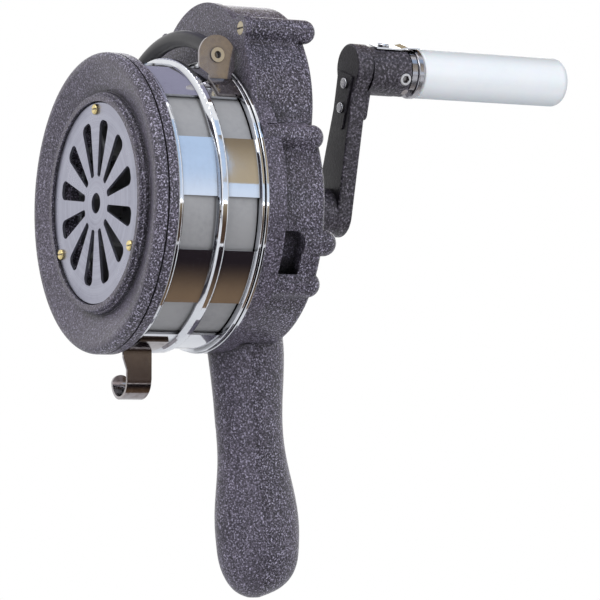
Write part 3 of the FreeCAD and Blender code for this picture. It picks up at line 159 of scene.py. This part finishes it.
# card: corner, edge that the colour fades along, other edge, first and last colour, where the fade runs
cards = {
    "skyCard": ((0.60, -0.05, 0.12), (-0.30, 0.0, 0.62), (0.0, 0.70, 0.0), "pale", "sky", (0.0, 0.4)),
    "tanCard": ((0.321, 0.082, 0.201), (-0.101, 0.0, 0.169), (0.0, 0.17, 0.0), "tan", "brown", (0.1, 1.6)),
    "darkFloorCard": ((0.36, 0.03, -0.10), (-0.31, 0.0, -0.18), (0.0, 0.30, 0.0), "dark", "umber",
                      (0.25, 0.85)),
    "ceilingCard": ((0.10, -0.10, 0.66), (-0.50, 0.0, -0.20), (0.0, 0.288, 0.0), "lavender", "lavender",
                    (0.0, 1.0)),
    "ceilingBrownCard": ((0.10, 0.188, 0.66), (-0.50, 0.0, -0.20), (0.0, 0.40, 0.0), "brown", "tan",
                         (0.0, 1.0)),
    "lowSideCard": ((0.31, 0.03, -0.05), (0.0, 0.0, 0.165), (0.0, 0.16, 0.0), "brown", "tan", (0.5, 1.3)),
    "frontCard": ((0.10, -0.95, -0.10), (0.75, 0.30, 0.0), (0.0, 0.0, 0.80), "dark", "lavender", (0.5, 1.1)),
}

bpy.context.scene.view_settings.view_transform = "Standard"
addCamera()
addWorld()
addFloor()
for name, (place, wide, power) in lamps.items():
    addLamp(name, place, wide, power)
for name, values in cards.items():
    addCard(name, *values)
print("studio ready")


# ---- shared effects, each made once as a node group ----
def newGroup(name, inputs, outputs):
    group = bpy.data.node_groups.new(name, "ShaderNodeTree")
    for label, kind, value in inputs:
        socket = group.interface.new_socket(name=label, in_out="INPUT", socket_type=kind)
        if value is not None:
            socket.default_value = value
    for label, kind in outputs:
        group.interface.new_socket(name=label, in_out="OUTPUT", socket_type=kind)
    return group, group.nodes.new("NodeGroupInput"), group.nodes.new("NodeGroupOutput")


def mathNode(tree, operation, first, second=None, clamp=False):
    node = tree.nodes.new("ShaderNodeMath")
    node.operation = operation
    node.use_clamp = clamp
    for i, value in enumerate((first, second)):
        if value is None:
            continue
        if isinstance(value, (int, float)):
            node.inputs[i].default_value = value
        else:
            tree.links.new(value, node.inputs[i])
    return node.outputs[0]


def noiseNode(tree, vector, scale, detail=2.0, rough=0.5, distortion=0.0):
    node = tree.nodes.new("ShaderNodeTexNoise")
    node.inputs["Detail"].default_value = detail
    node.inputs["Roughness"].default_value = rough
    node.inputs["Distortion"].default_value = distortion
    if isinstance(scale, (int, float)):
        node.inputs["Scale"].default_value = scale
    else:
        tree.links.new(scale, node.inputs["Scale"])
    tree.links.new(vector, node.inputs["Vector"])
    return node.outputs["Fac"]


def rangeNode(tree, value, low, high, outLow=0.0, outHigh=1.0):
    node = tree.nodes.new("ShaderNodeMapRange")
    tree.links.new(value, node.inputs["Value"])
    node.inputs["From Min"].default_value = low
    node.inputs["From Max"].default_value = high
    node.inputs["To Min"].default_value = outLow
    node.inputs["To Max"].default_value = outHigh
    return node.outputs["Result"]


def mixColor(tree, factor, first, second):
    node = tree.nodes.new("ShaderNodeMix")
    node.data_type = "RGBA"
    for socket, value in ((node.inputs[0], factor), (node.inputs[6], first), (node.inputs[7], second)):
        if isinstance(value, (int, float, tuple)):
            socket.default_value = value
        else:
            tree.links.new(value, socket)
    return node.outputs[2]


def cellNode(tree, vector, scale, smooth):
    node = tree.nodes.new("ShaderNodeTexVoronoi")
    node.feature = "SMOOTH_F1"
    node.inputs["Smoothness"].default_value = smooth
    tree.links.new(vector, node.inputs["Vector"])
    tree.links.new(scale, node.inputs["Scale"])
    return node.outputs["Distance"]


pebble = {
    "smooth": 0.6, "lumpRange": (0.15, 0.75), "lumpShare": 0.45,
    "grainRange": (0.34, 0.68), "grainShare": 0.55, "grainWarp": 0.4,
    "cloudScale": 42.0, "cloudRange": (0.3, 0.7), "cloudTone": (0.78, 1.12), "contrast": 2.0,
    "speckScale": 1.1, "speckRange": (0.53, 0.66), "speckLift": 0.5, "rough": (0.33, 0.50),
}


# pebbled enamel: the paint's own mottle, with painted shade in the dark hollows, painted light on the lighter
# lumps and small bright specks that are painted glints
def makeHammertone():
    group, given, out = newGroup("hammertone", [
        ("Vector", "NodeSocketVector", None), ("Cell Scale", "NodeSocketFloat", 900.0),
        ("Dark", "NodeSocketColor", (0.02, 0.02, 0.02, 1)), ("Light", "NodeSocketColor", (0.2, 0.2, 0.2, 1)),
        ("Speck", "NodeSocketColor", (0.5, 0.5, 0.5, 1)), ("Speck Amount", "NodeSocketFloat", 1.0),
        ("Relief", "NodeSocketFloat", 1.0)],
        [("Color", "NodeSocketColor"), ("Height", "NodeSocketFloat"), ("Roughness", "NodeSocketFloat")])
    vector, scale = given.outputs["Vector"], given.outputs["Cell Scale"]
    lumps = rangeNode(group, cellNode(group, vector, scale, pebble["smooth"]), *pebble["lumpRange"], 1.0, 0.0)
    grain = noiseNode(group, vector, scale, 3.0, 0.6, pebble["grainWarp"])
    grain = rangeNode(group, grain, *pebble["grainRange"])
    cloud = noiseNode(group, vector, pebble["cloudScale"], 3.0, 0.55)
    body = mathNode(group, "ADD", mathNode(group, "MULTIPLY", lumps, pebble["lumpShare"]),
                    mathNode(group, "MULTIPLY", grain, pebble["grainShare"]))
    shade = rangeNode(group, cloud, *pebble["cloudRange"], *pebble["cloudTone"])
    tone = mathNode(group, "POWER", mathNode(group, "MULTIPLY", body, shade, True), pebble["contrast"])
    speckScale = mathNode(group, "MULTIPLY", scale, pebble["speckScale"])
    speck = rangeNode(group, noiseNode(group, vector, speckScale, 1.0, 0.5), *pebble["speckRange"])
    speck = mathNode(group, "MULTIPLY", speck, body)
    speck = mathNode(group, "MULTIPLY", speck, given.outputs["Speck Amount"], True)
    # painted shade and light: the colour darkens in the hollows and lightens on the lumps
    paint = mixColor(group, tone, given.outputs["Dark"], given.outputs["Light"])
    # painted glints: small bright specks mixed over the paint colour
    group.links.new(mixColor(group, speck, paint, given.outputs["Speck"]), out.inputs["Color"])
    high = mathNode(group, "ADD", body, mathNode(group, "MULTIPLY", speck, pebble["speckLift"]))
    group.links.new(mathNode(group, "MULTIPLY", high, given.outputs["Relief"]), out.inputs["Height"])
    group.links.new(rangeNode(group, cloud, *pebble["cloudRange"], *pebble["rough"]), out.inputs["Roughness"])
    return group


wear = {
    "cloudScale": 38.0, "cloudRange": (0.35, 0.72), "fineScale": 420.0, "fineRange": (0.35, 0.65),
    "fineShare": (0.5, 1.0), "waveScale": 32.0,
}


# worn and clean patches on a smooth surface, with a fine grain and a slow wave for its relief
def makeHandling():
    group, given, out = newGroup("handlingMarks", [
        ("Vector", "NodeSocketVector", None), ("Color", "NodeSocketColor", (0.5, 0.5, 0.5, 1)),
        ("Dull", "NodeSocketColor", (0.3, 0.3, 0.3, 1)), ("Amount", "NodeSocketFloat", 0.3),
        ("Gloss", "NodeSocketFloat", 0.2), ("Matte", "NodeSocketFloat", 0.4)],
        [("Color", "NodeSocketColor"), ("Roughness", "NodeSocketFloat"), ("Height", "NodeSocketFloat"),
         ("Wave", "NodeSocketFloat")])
    vector, gloss, matte = (given.outputs[label] for label in ("Vector", "Gloss", "Matte"))
    cloud = rangeNode(group, noiseNode(group, vector, wear["cloudScale"], 4.0, 0.6), *wear["cloudRange"])
    fine = noiseNode(group, vector, wear["fineScale"], 3.0, 0.6)
    mask = mathNode(group, "MULTIPLY", cloud, rangeNode(group, fine, *wear["fineRange"], *wear["fineShare"]))
    amount = mathNode(group, "MULTIPLY", mask, given.outputs["Amount"], True)
    color = mixColor(group, amount, given.outputs["Color"], given.outputs["Dull"])
    spread = mathNode(group, "MULTIPLY", mathNode(group, "SUBTRACT", matte, gloss), mask)
    group.links.new(color, out.inputs["Color"])
    group.links.new(mathNode(group, "ADD", gloss, spread), out.inputs["Roughness"])
    group.links.new(fine, out.inputs["Height"])
    group.links.new(noiseNode(group, vector, wear["waveScale"], 1.0, 0.4), out.inputs["Wave"])
    return group


# fine lathe lines about the siren axis
def makeTurnedLines():
    group, given, out = newGroup("turnedLines", [
        ("Vector", "NodeSocketVector", None), ("Density", "NodeSocketFloat", 900.0)],
        [("Fac", "NodeSocketFloat")])
    split = group.nodes.new("ShaderNodeSeparateXYZ")
    group.links.new(given.outputs["Vector"], split.inputs[0])
    squares = [mathNode(group, "MULTIPLY", split.outputs[i], split.outputs[i]) for i in (0, 2)]
    radius = mathNode(group, "SQRT", mathNode(group, "ADD", *squares))
    join = group.nodes.new("ShaderNodeCombineXYZ")
    group.links.new(radius, join.inputs[0])
    group.links.new(split.outputs[1], join.inputs[1])
    lines = noiseNode(group, join.outputs[0], given.outputs["Density"], 3.0, 0.65)
    group.links.new(rangeNode(group, lines, 0.3, 0.7), out.inputs["Fac"])
    return group


effects = {"hammertone": makeHammertone(), "handling": makeHandling(), "turned": makeTurnedLines()}
print("effects ready")


# ---- materials ----
def newMaterial(name, centre=(0.0, 0.0, 0.0)):
    material = bpy.data.materials.new(name)
    material.use_nodes = True
    tree = material.node_tree
    shader = tree.nodes["Principled BSDF"]
    coords = tree.nodes.new("ShaderNodeTexCoord")
    mapping = tree.nodes.new("ShaderNodeMapping")
    mapping.inputs["Location"].default_value = [-c for c in centre]
    tree.links.new(coords.outputs["Object"], mapping.inputs["Vector"])
    return material, tree, shader, mapping.outputs["Vector"]


def placeEffect(tree, name, vector, values):
    node = tree.nodes.new("ShaderNodeGroup")
    node.node_tree = effects[name]
    tree.links.new(vector, node.inputs["Vector"])
    for label, value in values.items():
        node.inputs[label].default_value = value
    return node


def placeMarks(tree, vector, values):
    return placeEffect(tree, "handling", vector, {
        label.capitalize(): values[label] for label in ("color", "dull", "amount", "gloss", "matte")})


def addBump(tree, shader, height, strength, distance):
    bump = tree.nodes.new("ShaderNodeBump")
    bump.inputs["Strength"].default_value = strength
    bump.inputs["Distance"].default_value = distance
    tree.links.new(height, bump.inputs["Height"])
    tree.links.new(bump.outputs["Normal"], shader.inputs["Normal"])


facingRange = (0.90, 0.985)
# painted shade colours for hollows and joints, on enamel and on metal
grime = (0.006, 0.005, 0.008, 1)
metalGrime = (0.05, 0.04, 0.035, 1)


# how far a surface faces along the siren axis: 1 on flat front and rear faces, 0 on side walls
def facingAxis(tree):
    coords = tree.nodes.new("ShaderNodeTexCoord")
    split = tree.nodes.new("ShaderNodeSeparateXYZ")
    tree.links.new(coords.outputs["Normal"], split.inputs[0])
    return rangeNode(tree, mathNode(tree, "ABSOLUTE", split.outputs[1]), *facingRange)


# painted shade: dark in hollows and joints, from how closed in the surface is
def addGrime(tree, color, reach, shadeColor):
    shade = tree.nodes.new("ShaderNodeAmbientOcclusion")
    shade.samples = 8
    shade.inputs["Distance"].default_value = reach
    return mixColor(tree, rangeNode(tree, shade.outputs["AO"], 0.35, 0.95, 1.0, 0.0), color, shadeColor)


enamels = {
    "castEnamel": {
        "skin": {"Cell Scale": 1100.0, "Dark": (0.005, 0.004, 0.009, 1), "Light": (0.235, 0.200, 0.285, 1),
                 "Speck": (0.62, 0.58, 0.76, 1), "Speck Amount": 1.2},
        "coat": 0.25, "bump": 0.9, "deep": 0.0007, "reach": 0.010},
    "collarEnamel": {
        "skin": {"Cell Scale": 1100.0, "Dark": (0.014, 0.011, 0.020, 1), "Light": (0.215, 0.185, 0.262, 1),
                 "Speck": (0.50, 0.46, 0.62, 1), "Speck Amount": 0.9},
        "coat": 0.2, "bump": 0.6, "deep": 0.0005, "reach": 0.008},
}
enamelMetallic = 0.15
enamelCoatRough = 0.18
twoSkinCoatRough = 0.2


def finishEnamel(tree, shader, values, color, roughness, height, coatRough):
    # painted shade in hollows and joints, mixed into the enamel colour
    tree.links.new(addGrime(tree, color, values["reach"], grime), shader.inputs["Base Color"])
    tree.links.new(roughness, shader.inputs["Roughness"])
    shader.inputs["Metallic"].default_value = enamelMetallic
    shader.inputs["Coat Weight"].default_value = values["coat"]
    shader.inputs["Coat Roughness"].default_value = coatRough
    addBump(tree, shader, height, values["bump"], values["deep"])


def makeEnamel(name, values):
    material, tree, shader, vector = newMaterial(name)
    skin = placeEffect(tree, "hammertone", vector, values["skin"])
    finishEnamel(tree, shader, values, skin.outputs["Color"], skin.outputs["Roughness"], skin.outputs["Height"],
                 enamelCoatRough)
    return material


# two skins on one piece: a smooth one on its flat faces and a pebbled one on its sides, and their tones differ
# by which way a face points, as painted light and shade
facingShadedSkins = {
    "ringEnamel": {
        "flat": {"Cell Scale": 1000.0, "Dark": (0.030, 0.024, 0.038, 1), "Light": (0.215, 0.185, 0.250, 1),
                 "Speck": (0.42, 0.39, 0.52, 1), "Speck Amount": 0.6, "Relief": 0.7},
        "side": {"Cell Scale": 1100.0, "Dark": (0.006, 0.005, 0.010, 1), "Light": (0.215, 0.185, 0.262, 1),
                 "Speck": (0.62, 0.58, 0.76, 1), "Speck Amount": 1.2, "Relief": 1.0},
        "coat": 0.2, "bump": 0.6, "deep": 0.0006, "reach": 0.004},
    "armEnamel": {
        "flat": {"Cell Scale": 900.0, "Dark": (0.003, 0.002, 0.004, 1), "Light": (0.020, 0.015, 0.025, 1),
                 "Speck": (0.06, 0.05, 0.08, 1), "Speck Amount": 0.2, "Relief": 0.2},
        "side": {"Cell Scale": 820.0, "Dark": (0.010, 0.008, 0.013, 1), "Light": (0.120, 0.104, 0.140, 1),
                 "Speck": (0.34, 0.31, 0.38, 1), "Speck Amount": 0.7, "Relief": 0.9},
        "coat": 0.1, "bump": 0.6, "deep": 0.0006, "reach": 0.004},
}


def makeFacingShadedSkins(name, values):
    material, tree, shader, vector = newMaterial(name)
    flat = placeEffect(tree, "hammertone", vector, values["flat"])
    side = placeEffect(tree, "hammertone", vector, values["side"])
    facing = facingAxis(tree)
    away = mathNode(tree, "SUBTRACT", 1.0, facing)
    # painted light and shade: flat faces and side walls get differently lit copies of the paint
    color = mixColor(tree, facing, side.outputs["Color"], flat.outputs["Color"])
    height = mathNode(tree, "ADD", mathNode(tree, "MULTIPLY", side.outputs["Height"], away),
                      mathNode(tree, "MULTIPLY", flat.outputs["Height"], facing))
    finishEnamel(tree, shader, values, color, side.outputs["Roughness"], height, twoSkinCoatRough)
    return material


metals = {
    "drumChrome": {"color": (0.78, 0.80, 0.84, 1), "dull": (0.52, 0.52, 0.58, 1), "amount": 0.45,
                   "gloss": 0.05, "matte": 0.12, "fine": 0.004, "wave": 0.22},
    "hookChrome": {"color": (0.46, 0.44, 0.46, 1), "dull": (0.13, 0.09, 0.07, 1), "amount": 1.0,
                   "gloss": 0.07, "matte": 0.20, "fine": 0.008, "wave": 0.5},
    "plainBrass": {"color": (0.80, 0.66, 0.32, 1), "dull": (0.42, 0.31, 0.12, 1), "amount": 0.7,
                   "gloss": 0.18, "matte": 0.36, "fine": 0.02, "wave": 0.1},
    "tarnishedBrass": {"color": (0.50, 0.44, 0.32, 1), "dull": (0.16, 0.13, 0.09, 1), "amount": 0.9,
                       "gloss": 0.20, "matte": 0.40, "fine": 0.04, "wave": 0.2},
    "zincPlate": {"color": (0.66, 0.66, 0.68, 1), "dull": (0.36, 0.35, 0.37, 1), "amount": 0.6,
                  "gloss": 0.18, "matte": 0.36, "fine": 0.02, "wave": 0.1},
    "gearSteel": {"color": (0.42, 0.42, 0.44, 1), "dull": (0.20, 0.19, 0.18, 1), "amount": 0.6,
                  "gloss": 0.28, "matte": 0.48, "fine": 0.03, "wave": 0.0},
    "ballSteel": {"color": (0.72, 0.73, 0.75, 1), "dull": (0.55, 0.55, 0.58, 1), "amount": 0.3,
                  "gloss": 0.08, "matte": 0.16, "fine": 0.01, "wave": 0.0},
    "sinterBronze": {"color": (0.62, 0.44, 0.24, 1), "dull": (0.30, 0.20, 0.11, 1), "amount": 0.6,
                     "gloss": 0.35, "matte": 0.55, "fine": 0.05, "wave": 0.0},
}


metalReach = 0.0025


def makeMetal(name, values):
    material, tree, shader, vector = newMaterial(name)
    marks = placeMarks(tree, vector, values)
    # painted shade in hollows and joints, mixed into the metal colour
    color = addGrime(tree, marks.outputs["Color"], metalReach, metalGrime)
    tree.links.new(color, shader.inputs["Base Color"])
    tree.links.new(marks.outputs["Roughness"], shader.inputs["Roughness"])
    shader.inputs["Metallic"].default_value = 1.0
    height = mathNode(tree, "ADD", mathNode(tree, "MULTIPLY", marks.outputs["Height"], values["fine"]),
                      mathNode(tree, "MULTIPLY", marks.outputs["Wave"], values["wave"]))
    addBump(tree, shader, height, 1.0, 0.001)
    return material


grilleFinish = {"color": (0.34, 0.34, 0.42, 1), "dull": (0.17, 0.17, 0.23, 1), "amount": 0.55, "gloss": 0.26,
                "matte": 0.42, "line": (0.41, 0.42, 0.50, 1), "density": 1600.0, "metallic": 0.9, "bump": 0.10,
                "deep": 0.0002}


def makeBrushedDisc():
    material, tree, shader, vector = newMaterial("grilleSatin", (0, axisBack, axisHigh))
    marks = placeMarks(tree, vector, grilleFinish)
    lines = placeEffect(tree, "turned", vector, {"Density": grilleFinish["density"]})
    tree.links.new(mixColor(tree, lines.outputs["Fac"], marks.outputs["Color"], grilleFinish["line"]),
                   shader.inputs["Base Color"])
    tree.links.new(marks.outputs["Roughness"], shader.inputs["Roughness"])
    shader.inputs["Metallic"].default_value = grilleFinish["metallic"]
    addBump(tree, shader, lines.outputs["Fac"], grilleFinish["bump"], grilleFinish["deep"])
    return material


rotorFinish = {"color": (0.34, 0.34, 0.35, 1), "dull": (0.22, 0.22, 0.23, 1), "amount": 0.6, "gloss": 0.45,
               "matte": 0.62, "metallic": 0.35, "bump": 0.15, "deep": 0.0003}


def makeRotorAlloy():
    material, tree, shader, vector = newMaterial("rotorAlloy", (0, axisBack, axisHigh))
    marks = placeMarks(tree, vector, rotorFinish)
    tree.links.new(marks.outputs["Color"], shader.inputs["Base Color"])
    tree.links.new(marks.outputs["Roughness"], shader.inputs["Roughness"])
    shader.inputs["Metallic"].default_value = rotorFinish["metallic"]
    addBump(tree, shader, marks.outputs["Height"], rotorFinish["bump"], rotorFinish["deep"])
    return material


plastics = {
    "gripWhite": {"color": (0.81, 0.84, 0.87, 1), "dull": (0.72, 0.76, 0.81, 1), "amount": 0.5,
                  "gloss": 0.30, "matte": 0.42, "bump": 0.03, "rim": (0.42, 0.46, 0.50, 1),
                  "rimRange": (0.25, 0.95), "inner": 0.15, "innerReach": 0.004},
    "cordBlack": {"color": (0.006, 0.005, 0.008, 1), "dull": (0.020, 0.018, 0.024, 1), "amount": 0.5,
                  "gloss": 0.28, "matte": 0.45, "bump": 0.06},
    "gasketFibre": {"color": (0.62, 0.62, 0.60, 1), "dull": (0.45, 0.44, 0.42, 1), "amount": 0.5,
                    "gloss": 0.6, "matte": 0.8, "bump": 0.1},
}
plasticDeep = 0.0003


# a plastic; one with an edge shade colour is a little translucent and gets painted shade towards its edges,
# where the surface turns away from the view
def makePlastic(name, values):
    material, tree, shader, vector = newMaterial(name)
    marks = placeMarks(tree, vector, values)
    color = marks.outputs["Color"]
    tree.links.new(marks.outputs["Roughness"], shader.inputs["Roughness"])
    addBump(tree, shader, marks.outputs["Height"], values["bump"], plasticDeep)
    if "rim" in values:
        # painted shade: darker where the surface turns away from the view
        edge = tree.nodes.new("ShaderNodeLayerWeight")
        edge.inputs["Blend"].default_value = 0.5
        turned = rangeNode(tree, edge.outputs["Facing"], *values["rimRange"])
        color = mixColor(tree, turned, color, values["rim"])
        shader.inputs["Subsurface Weight"].default_value = values["inner"]
        shader.inputs["Subsurface Scale"].default_value = values["innerReach"]
    tree.links.new(color, shader.inputs["Base Color"])
    return material


bracketPlate = {"color": (0.50, 0.50, 0.54, 1), "dull": (0.24, 0.22, 0.22, 1), "amount": 0.8, "gloss": 0.14,
                "matte": 0.30}


# the smooth worn plating of the folding bracket
def makeBracket():
    material, tree, shader, vector = newMaterial("bracketFinish")
    marks = placeMarks(tree, vector, bracketPlate)
    tree.links.new(marks.outputs["Color"], shader.inputs["Base Color"])
    tree.links.new(marks.outputs["Roughness"], shader.inputs["Roughness"])
    shader.inputs["Metallic"].default_value = 1.0
    return material


finishes = {name: makeMetal(name, values) for name, values in metals.items()}
finishes.update({name: makePlastic(name, values) for name, values in plastics.items()})
finishes.update({name: makeEnamel(name, values) for name, values in enamels.items()})
finishes.update({name: makeFacingShadedSkins(name, values) for name, values in facingShadedSkins.items()})
finishes["grilleSatin"] = makeBrushedDisc()
finishes["rotorAlloy"] = makeRotorAlloy()
finishes["bracketFinish"] = makeBracket()

dressing = {
    "castEnamel": ["rear_cover"],
    "collarEnamel": ["front_case"],
    "ringEnamel": ["front_ring"],
    "grilleSatin": ["grille_plate"],
    "plainBrass": ["grille_screws"],
    "tarnishedBrass": ["case_screws"],
    "drumChrome": ["stator_drum", "cord_lug", "cord_rivets", "spring_rivet", "detent_spring"],
    "hookChrome": ["strap_hook_top", "strap_hook_bottom", "hook_rivets", "fold_pin"],
    "zincPlate": ["drum_screws", "grip_screws", "bearing_retainer", "retainer_screws", "rotor_nut",
                  "rotor_washer", "thrust_washer", "crank_screw", "arm_rivets", "cross_screw"],
    "gearSteel": ["bearing_spacer", "rotor_key", "rotor_shaft", "rotor_pinion", "idler_gear", "idler_pinion",
                  "crank_gear", "crank_shaft", "grip_spindle", "spindle_clip"],
    "ballSteel": ["bearing_outer_rings", "bearing_inner_rings", "bearing_balls", "idler_pin", "gear_pin"],
    "sinterBronze": ["crank_bush", "idler_washers"],
    "rotorAlloy": ["rotor"],
    "armEnamel": ["crank_arm", "grip_knuckle"],
    "bracketFinish": ["grip_bracket"],
    "gripWhite": ["grip_sleeve"],
    "cordBlack": ["carry_cord"],
    "gasketFibre": ["case_gasket"],
}
for finish, names in dressing.items():
    for name in names:
        data = nodes[name].data
        if not data.materials:
            data.materials.append(finishes[finish])
        for i in range(len(data.materials)):
            data.materials[i] = finishes[finish]
missing = sorted(set(nodes) - {name for names in dressing.values() for name in names})
print("materials on every node" if not missing else "no finish yet: %s" % missing)
